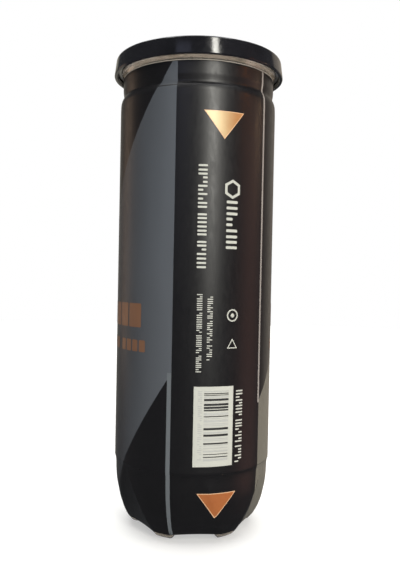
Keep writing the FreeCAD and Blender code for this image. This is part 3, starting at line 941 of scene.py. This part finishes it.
@dataclass
class Artwork:
    """Layout of the print: two dark information strips with a display face on either side.

    All its lengths are millimetres round the wall from the front, and up from the ground.
    """

    ink: Print
    strip_left: float = -9.4
    strip_right: float = 34.6
    half_turn: float = math.pi * 37.0
    top: float = 210.9
    foot: float = 3.7
    grey_width: float = 45.0
    grey_flat: float = 2.4
    grey_slope: float = 1.58
    warm_gap: float = 0.3
    warm_width: float = 23.0
    warm_heights: Point2 = (62.8, 91.0)
    grey_line_top: float = 76.6
    grey_line: float = 1.9
    pale_line: Point2 = (-0.75, 0.45)
    pale_line_low: float = 62.0
    triangle: tuple[float, float, float] = (2.6, 11.9, 21.2)
    triangle_depth: float = 12.0
    triangle_middle: float = 4.2
    triangle_fill: Point2 = (0.94, 0.93)
    rng: np.random.Generator = field(default_factory=lambda: np.random.default_rng(7))

    def build(self) -> None:
        """Wrap every ink area."""
        self.display_faces()
        self.lines()
        self.triangles()
        self.columns()
        self.symbols()
        self.label()
        self.display_words()

    def both(self, outlines: list[Outline]) -> list[Outline]:
        """The same outlines on the front and half a turn round."""
        return outlines + [[(s + self.half_turn, z) for s, z in o] for o in outlines]

    def display_faces(self) -> None:
        """Print blue-grey and warm-grey slanted panels on the display faces; the blue-grey one carries
        painted shading, darker at its left edge and lighter toward its right.
        """
        right, left = self.strip_left, self.strip_left - self.grey_width
        flat = right - self.grey_flat
        high = self.top - (flat - left) * self.grey_slope
        low = self.grey_line_top - self.grey_width * self.grey_slope
        grey = [(right, self.grey_line_top), (right, self.top), (flat, self.top), (left, high), (left, low)]
        self.ink.wrap("print_blue_grey_panel_painted_shade", self.both([grey]), GREY_FILM_PAINTED_SHADE)
        near = self.strip_right + self.warm_gap
        far = near + self.warm_width
        near_top, far_top = self.warm_heights
        warm = [(near, self.foot), (far, self.foot), (far, far_top), (near, near_top)]
        self.ink.wrap("print_warm_grey_panel", self.both([warm]), WARM_FILM)

    def lines(self) -> None:
        """Print the edge lines of the dark strips."""
        inside, outside = (self.strip_right + edge for edge in self.pale_line)
        pale = Print.box(inside, self.pale_line_low, outside, self.top)
        self.ink.wrap("print_pale_line", self.both([pale]), LINE_FILM, 2)
        grey = Print.box(self.strip_left - self.grey_line, self.foot, self.strip_left, self.grey_line_top)
        self.ink.wrap("print_grey_line", self.both([grey]), EDGE_LINE_FILM, 2)

    def triangles(self) -> None:
        """Print copper triangles near the top and the foot of each strip; the top ones are a paler copy of
        the copper ink with a painted highlight.
        """
        rims = []
        near, tip, far = self.triangle
        across, up = self.triangle_fill
        for place, top, finish in (("top", 189.6, COPPER_PAINTED_HIGHLIGHT), ("foot", 24.4, COPPER)):
            corners = [(near, top), (tip, top - self.triangle_depth), (far, top)]
            rims.append(corners)
            middle = top - self.triangle_middle
            fill = [(tip + (s - tip) * across, middle + (z - middle) * up) for s, z in corners]
            self.ink.wrap(f"print_triangle_{place}", self.both([fill]), finish, 2)
        self.ink.wrap("print_triangle_rims", self.both(rims), COPPER_LINE)

    def strokes(self, s0: float, s1: float, z_top: float, z_end: float, stroke: float) -> list[Outline]:
        """Run of plain strokes of uneven length that reads downward, in place of words.

        Args:
            s0: Left edge of the run.
            s1: Right edge of the run.
            z_top: Upper end.
            z_end: Lower end.
            stroke: Width of one stroke; the space between strokes is alike.

        Returns:
            One rounded outline for each stroke.
        """
        made, z, whole, in_word = [], z_top, s1 - s0, 0
        least, corner, gap, more_gap, word_gap = 0.3, 0.4, 0.85, 0.5, 1.6
        word = int(self.rng.integers(6, 12))
        while z - stroke > z_end:
            start = s0 + whole * float(self.rng.choice([0.0, 0.0, 0.0, 0.0, 0.5]))
            end = s1 - whole * float(self.rng.choice([0.0, 0.0, 0.0, 0.0, 0.45]))
            if end - start < whole * least:
                start, end = s0, s1
            made.append(Print.box(start, z - stroke, end, z, stroke * corner))
            z -= stroke * (1 + gap + more_gap * float(self.rng.random()))
            in_word += 1
            if in_word == word:
                z -= stroke * word_gap
                in_word, word = 0, int(self.rng.integers(6, 12))
        return made

    def columns(self) -> None:
        """Print white strokes in place of the strip's words."""
        white = []
        for left, right, high, end, stroke in (
            (0.7, 4.7, 166.4, 121.8, 0.85), (13.4, 18.8, 151.4, 127.8, 1.2), (5.7, 8.1, 109.9, 81.8, 0.42),
            (1.1, 3.5, 110.9, 76.7, 0.42), (19.9, 23.5, 69.0, 37.0, 0.62),
        ):
            white += self.strokes(left, right, high, end, stroke)
        self.ink.wrap("print_white_strokes", white, WHITE_FILM)

    def symbols(self) -> None:
        """Print a plain hexagon, a ring with a dot, and a triangle of three bars."""
        white = Print.ring(16.2, 156.4, 4.2, 2.9, 6, math.pi / 6)
        s, z, dot = 17.3, 101.8, 1.2
        white += Print.ring(s, z, 2.7, 2.1, 40)
        corners = [(s + dot * x, z + dot * y) for x, y in ((1, 0), (0, 1), (-1, 0), (0, -1))]
        white.append(rounded(corners, dot, 6))
        white += Print.ring(17.4, 88.9, 2.9, 2.1, 3, math.pi / 2)
        self.ink.wrap("print_symbols", white, WHITE_FILM)

    def label(self) -> None:
        """Print a white label with plain bars and a column of dashes."""
        self.ink.wrap("print_label", [Print.box(0.5, 36.4, 18.5, 71.1)], WHITE_FILM)
        left, right, high, low = 5.0, 16.2, 69.2, 39.4
        dark, grey, z = [], [], high
        while z > low:
            width = float(self.rng.choice([0.3, 0.42, 0.65, 0.95]))
            target = dark if self.rng.random() < 0.5 else grey
            target.append(Print.box(left, z - width, right, z))
            z -= width + float(self.rng.choice([0.35, 0.5, 0.85]))
        grey += self.strokes(2.4, 4.2, high, low, 0.4)
        self.ink.wrap("print_label_bars_dark", dark, INK_FILM, 2)
        self.ink.wrap("print_label_bars_grey", grey, GREY_INK_FILM, 2)

    def display_words(self) -> None:
        """Print copper blocks in place of the display face's words; a width below zero is a space."""
        middle, gap, corner = self.strip_left - 36.2, 0.9, 0.6
        made = []
        for low, high, widths in (
            (95.4, 106.0, [8.2, 7.4, 6.4, 6.8, 8.2]), (84.6, 89.8, [3.4] * 6 + [-2.0] + [3.6] * 4)
        ):
            total = sum(abs(w) for w in widths) + gap * (len(widths) - 1)
            s = middle - total / 2
            for width in widths:
                if width > 0:
                    made.append(Print.box(s, low, s + width, high, corner))
                s += abs(width) + gap
        self.ink.wrap("print_copper_blocks", self.both(made), COPPER_ON_GREY, 3)


# ---------------------------------------------------------------- cap and metal end


@dataclass
class SnapCap:
    """Black press-on cap."""

    low: float
    high: float
    radius: float
    wall: float = 1.2 * MM
    flare: float = 0.45 * MM
    shrink: float = 0.5 * MM
    corner: float = 0.9 * MM
    rim: float = 4.6 * MM
    recess: float = 0.6 * MM
    seam_radius: float = 38.25 * MM

    def build(self) -> Obj:
        """Turn the cap's outline and dress it.

        Returns:
            The dressed piece.
        """
        out = self.radius - self.flare
        inside = out - self.wall
        ceiling = self.high - self.wall
        rim_in = out - self.rim
        bead = self.low + 1.1 * MM
        seat = self.seam_radius - 0.8 * MM
        top_out = out - self.shrink
        outline = [
            (TINY, self.high - self.recess), (rim_in - 0.8 * MM, self.high - self.recess),
            (rim_in, self.high), (top_out - self.corner, self.high),
            (top_out - 0.45 * self.corner, self.high - 0.12 * self.corner),
            (top_out - 0.12 * self.corner, self.high - 0.45 * self.corner),
            (top_out + 0.08 * MM, self.high - self.corner),
            (self.radius, self.low + 0.4 * MM), (self.radius - 0.15 * MM, self.low),
            (inside + 0.15 * MM, self.low), (inside, self.low + 0.6 * MM),
            (self.seam_radius + 0.06 * MM, bead), (inside - 0.1 * MM, bead + 0.5 * MM),
            (inside - self.shrink * 0.7, ceiling), (seat + 0.6 * MM, ceiling), (seat, ceiling - 1.6 * MM),
            (seat - 0.8 * MM, ceiling - 1.6 * MM), (seat - 1.2 * MM, ceiling - self.recess),
            (TINY, ceiling - self.recess),
        ]
        shell = lathe("snap_cap_shell", self.softened(outline), 320)
        return finish_piece(shell, Body.CAP, Slot.CAP, CAP_PLASTIC, "snap_cap")

    def softened(self, outline: Outline) -> Outline:
        """Round every corner but the two on the axis.

        Args:
            outline: Outline with sharp corners, from the axis on top to the axis below.

        Returns:
            The outline with round corners, and with rings that keep both flat discs flat to the eye.
        """
        bend, near_axis, near_corner = 0.45 * MM, 0.2 * MM, 1.0 * MM
        soft = rounded(outline[1:-1], bend, 5, closed=False)
        (top_r, top_z), (low_r, low_z) = soft[0], soft[-1]
        top = [outline[0], (near_axis, top_z), (top_r - near_corner, top_z)]
        return top + soft + [(low_r - near_corner, low_z), (near_axis, low_z), outline[-1]]


@dataclass
class Ball:
    """One pressurised ball: rubber core, two dog-bone felt panels and the glue line between them."""

    body: Body
    centre: float
    turn: float
    tilt: float
    radius: float = 33 * MM
    seam_half: float = 0.85 * MM
    seam_sink: float = 0.5 * MM
    shoulder: float = 1.1 * MM
    swing: float = 0.25
    snap: float = 0.30 * MM

    def seam(self, count: int = 1440) -> tuple[np.ndarray, np.ndarray]:
        """Draw the seam line of a unit ball.

        Args:
            count: Number of points.

        Returns:
            Points on the line, and the direction across it at each.
        """
        a, b = 1 - self.swing, self.swing
        t = np.arange(count) * 2 * math.pi / count
        high = 2 * math.sqrt(a * b)
        x, y = a * np.cos(t) + b * np.cos(3 * t), a * np.sin(t) - b * np.sin(3 * t)
        line = np.stack([x, y, high * np.sin(2 * t)], 1)
        along = np.roll(line, -1, axis=0) - np.roll(line, 1, axis=0)
        across = np.cross(line, along)
        return line, across / np.linalg.norm(across, axis=1)[:, None]

    def distances(self, spots: np.ndarray) -> np.ndarray:
        """Measure how far spots are from the seam line.

        Args:
            spots: Points on a unit ball.

        Returns:
            Signed distance over the ball from each of them to the seam line.
        """
        line, across = self.seam()
        made = np.empty(len(spots))
        batch = 4096
        for start in range(0, len(spots), batch):
            part = spots[start : start + batch]
            near = np.argmax(part @ line.T, axis=1)
            cosine = np.clip(np.einsum("ij,ij->i", part, line[near]), -1, 1)
            side = np.sign(np.einsum("ij,ij->i", part, across[near]))
            made[start : start + batch] = np.arccos(cosine) * side * self.radius
        return made

    def build(self) -> list[Obj]:
        """Make both felt panels and the glue line.

        Returns:
            The three dressed pieces.
        """
        work = bmesh.new()
        bmesh.ops.create_icosphere(work, subdivisions=7, radius=1.0)
        spots = np.array([v.co for v in work.verts])
        faces = np.array([[v.index for v in f.verts] for f in work.faces])
        work.free()
        spots, away = self.snapped(spots)
        depth = np.clip((np.abs(away) - self.seam_half) / self.shoulder, 0, 1)
        round_over = np.sqrt(np.clip(1 - (1 - depth) ** 2, 0, 1))
        edge = self.seam_half + 1e-6
        sink = np.where(np.abs(away) <= edge, self.seam_sink, (1 - round_over) * self.seam_sink)
        place = Matrix.Translation((0, 0, self.centre))
        place = place @ Matrix.Rotation(self.turn, 4, "Z") @ Matrix.Rotation(self.tilt, 4, "X")
        turned = spots * (self.radius - sink)[:, None] @ np.array(place.to_3x3()).T
        turned[:, 2] += self.centre
        middle = away[faces]
        glue = (np.abs(middle) <= edge).all(axis=1)
        plus = ~glue & (middle.mean(axis=1) > 0)
        minus = ~glue & ~plus
        made = []
        for tail, chosen, finish, slot in (
            ("felt_a", plus, FELT, Slot.FELT), ("felt_b", minus, FELT, Slot.FELT),
            ("glue_line", glue, GLUE, Slot.GLUE),
        ):
            node = f"{self.body.value}_{tail}"
            panel = self.panel(f"{node}_skin", turned, faces[chosen])
            made.append(finish_piece(panel, self.body, slot, finish, node))
        return made

    def snapped(self, spots: np.ndarray) -> tuple[np.ndarray, np.ndarray]:
        """Move spots beside the felt's edge onto it, so that the edge is a clean line.

        Args:
            spots: Points on a unit ball, which are moved in place.

        Returns:
            The points, and their signed distances from the seam line.
        """
        away = self.distances(spots)
        for edge in (self.seam_half, -self.seam_half):
            close = np.abs(away - edge) < self.snap
            ahead = self.slopes(spots[close])
            spots[close] += ahead * ((edge - away[close]) / self.radius)[:, None]
            spots[close] /= np.linalg.norm(spots[close], axis=1)[:, None]
            away[close] = edge
        return spots, away

    def slopes(self, spots: np.ndarray) -> np.ndarray:
        """Find the way over the ball in which the distance from the seam line grows.

        Args:
            spots: Points on a unit ball.

        Returns:
            Unit direction at each point.
        """
        line, across = self.seam()
        way = across[np.argmax(spots @ line.T, axis=1)]
        way = way - spots * np.einsum("ij,ij->i", way, spots)[:, None]
        return way / np.linalg.norm(way, axis=1)[:, None]

    def panel(self, name: str, points: np.ndarray, faces: np.ndarray) -> Obj:
        """Make a mesh of some of the ball's faces.

        Args:
            name: Name of the piece.
            points: All points of the ball.
            faces: The chosen faces, three point numbers each.

        Returns:
            The mesh as an object.
        """
        used, index = np.unique(faces, return_inverse=True)
        mesh = bpy.data.meshes.new(name)
        mesh.from_pydata(points[used].tolist(), [], index.reshape(-1, 3).tolist())
        mesh.shade_smooth()
        return new_object(name, mesh)


# ---------------------------------------------------------------- studio


@dataclass
class Studio:
    """Pale floor, white surround, soft lights and the camera."""

    distance: float = 307.4 * MM
    height: float = 119.2 * MM
    pitch: float = math.radians(-0.94)
    roll: float = math.radians(1.114)
    lens: float = 39.92
    shift: float = 0.0094
    floor_radius: float = 1.25
    floor_gap: float = 0.1 * MM
    floor_glow: float = 0.45
    sky_strength: float = 0.10
    aim_height: float = 0.11

    def build(self) -> None:
        """Set up everything round the object."""
        self.floor()
        self.surround()
        self.lights()
        self.camera()

    def floor(self) -> None:
        """Lay a large round pale floor under the feet."""
        work = bmesh.new()
        bmesh.ops.create_circle(work, cap_ends=True, radius=self.floor_radius, segments=96)
        mesh = bpy.data.meshes.new("floor")
        work.to_mesh(mesh)
        work.free()
        obj = new_object("floor", mesh)
        obj.location.z = -self.floor_gap
        paint = Finish("matt_white_floor", "#c4c4c2", 0.95, also=(("Emission Strength", self.floor_glow),))
        mesh.materials.append(paint.material)
        obj.visible_glossy = False

    def surround(self) -> None:
        """Put a white dome behind everything, which gives no light, and a dim even sky, which does."""
        work = bmesh.new()
        bmesh.ops.create_uvsphere(work, u_segments=48, v_segments=24, radius=self.floor_radius)
        mesh = bpy.data.meshes.new("backdrop")
        work.to_mesh(mesh)
        work.free()
        obj = new_object("backdrop", mesh)
        made = bpy.data.materials.new("white_backdrop")
        made.use_nodes = True
        tree = made.node_tree
        tree.nodes.clear()
        glow = add(tree, "ShaderNodeEmission", {"Color": (1, 1, 1, 1), "Strength": 1.0})
        add(tree, "ShaderNodeOutputMaterial", {"Surface": glow.outputs[0]})
        mesh.materials.append(made)
        obj.visible_diffuse = obj.visible_glossy = obj.visible_shadow = obj.visible_transmission = False
        world = bpy.data.worlds.new("studio")
        world.use_nodes = True
        sky = world.node_tree.nodes["Background"]
        sky.inputs["Color"].default_value = linear("#e9edf2")
        sky.inputs["Strength"].default_value = self.sky_strength
        bpy.context.scene.world = world
        bpy.context.scene.view_settings.view_transform = "Standard"

    def area(self, name: str, place: tuple, size: Point2, watts: float, colour: str = "#ffffff") -> None:
        """Set a soft rectangular light that faces the can.

        Args:
            name: Name of the light.
            place: Where its middle is.
            size: Width and height.
            watts: Power.
            colour: Hex colour of its light.
        """
        data = bpy.data.lights.new(name, "AREA")
        data.shape = "RECTANGLE"
        data.size, data.size_y = size
        data.energy = watts
        data.color = linear(colour)[:3]
        obj = bpy.data.objects.new(name, data)
        obj.location = place
        aim = Vector((0, 0, self.aim_height)) - Vector(place)
        obj.rotation_euler = aim.to_track_quat("-Z", "Y").to_euler()
        bpy.context.collection.objects.link(obj)

    def lights(self) -> None:
        """Set a strip at the front right, a soft box above, and dim cards that shape the edges."""
        self.area("box_top", (0.0, 0.3, 2.3), (2.6, 2.6), 100)
        self.area("strip_front", (0.58, -1.4, 0.82), (0.18, 1.3), 18, "#fffdf4")
        self.area("fill_front", (-0.55, -1.4, 0.8), (0.5, 0.7), 0.8, "#d6dcff")
        self.area("card_left", (-1.3, 0.75, 0.3), (0.5, 0.9), 1.3, "#ffd9b8")
        self.area("card_right", (1.5, -0.1, -0.05), (0.8, 1.3), 1.9, "#ffb8a6")
        self.area("card_back_left", (-0.46, 1.43, 0.35), (0.75, 1.7), 1.7, "#f3ecd6")
        self.area("card_back_right", (0.86, 1.23, 0.35), (1.1, 1.7), 3.1, "#f6e6d0")
        self.area("lamp_right", (1.1, -0.35, 0.62), (0.05, 0.07), 0.4, "#ff9a4a")
        self.area("lamp_right_low", (1.0, 0.12, 0.42), (0.03, 0.05), 0.25, "#ffd0a0")

    def camera(self) -> None:
        """Put the camera close in front, about half way up the can."""
        data = bpy.data.cameras.new("camera")
        data.lens = self.lens
        data.sensor_width = 36
        data.shift_x = self.shift
        data.clip_start = 0.01
        obj = bpy.data.objects.new("camera", data)
        obj.matrix_world = (
            Matrix.Translation((0, -self.distance, self.height))
            @ Matrix.Rotation(math.pi / 2 + self.pitch, 4, "X")
            @ Matrix.Rotation(self.roll, 4, "Z")
        )
        bpy.context.collection.objects.link(obj)
        bpy.context.scene.camera = obj


# ---------------------------------------------------------------- put together


def dress_cad(frame: dict, node: str, finish: Finish) -> None:
    """Give a CAD node that stays visible its finish.

    Args:
        node: Name of the node.
        finish: Surface of the node.
    """
    obj = frame["nodes"][node]
    obj.data.materials.clear()
    obj.data.materials.append(finish.material)
    LOG.info("%s is dressed as %s", node, finish.name)


def main() -> None:
    """Build every sub-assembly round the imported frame, then the studio."""
    logging.basicConfig(level=logging.INFO, format="%(message)s")
    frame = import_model()
    sleeve_low, sleeve_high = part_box("printed_sleeve")
    cap_low, cap_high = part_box("snap_cap")
    _, ring_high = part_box("end_ring")
    wall = Wall(
        radius=sleeve_high.x, neck_radius=sleeve_high.x - 1.1 * MM,
        top=sleeve_high.z, foot_edge=sleeve_low.z,
    )
    Sleeve(wall).build()
    Bottle(
        wall, film=0.17 * MM, seam_wall=ring_high.x - 1.2 * MM, seam_low=ring_high.z - 3.1 * MM,
        top=ring_high.z - 0.6 * MM,
    ).build()
    Artwork(Print(wall)).build()
    SnapCap(low=cap_low.z, high=cap_high.z, radius=cap_high.x, seam_radius=ring_high.x).build()
    for body, turn, tilt in (
        (Body.BALL_BOTTOM, 20, 35), (Body.BALL_MIDDLE, 145, 70), (Body.BALL_TOP, 260, 15),
    ):
        lows, highs = zip(*(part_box(f"{body.value}_{panel}") for panel in ("felt_a", "felt_b")))
        centre = (min(low.z for low in lows) + max(high.z for high in highs)) / 2
        Ball(body, centre, math.radians(turn), math.radians(tilt)).build()
        for half in ("core_lower", "core_upper"):
            dress_cad(frame, f"{body.value}_{half}", CORE_RUBBER)
    for node, finish in (
        ("end_ring", END_METAL), ("tear_panel", END_METAL), ("tab_tongue", TAB_METAL),
        ("tab_ring", TAB_METAL), ("seam_gasket", GASKET),
    ):
        dress_cad(frame, node, finish)
    Studio().build()


if __name__ == "__main__":
    main()
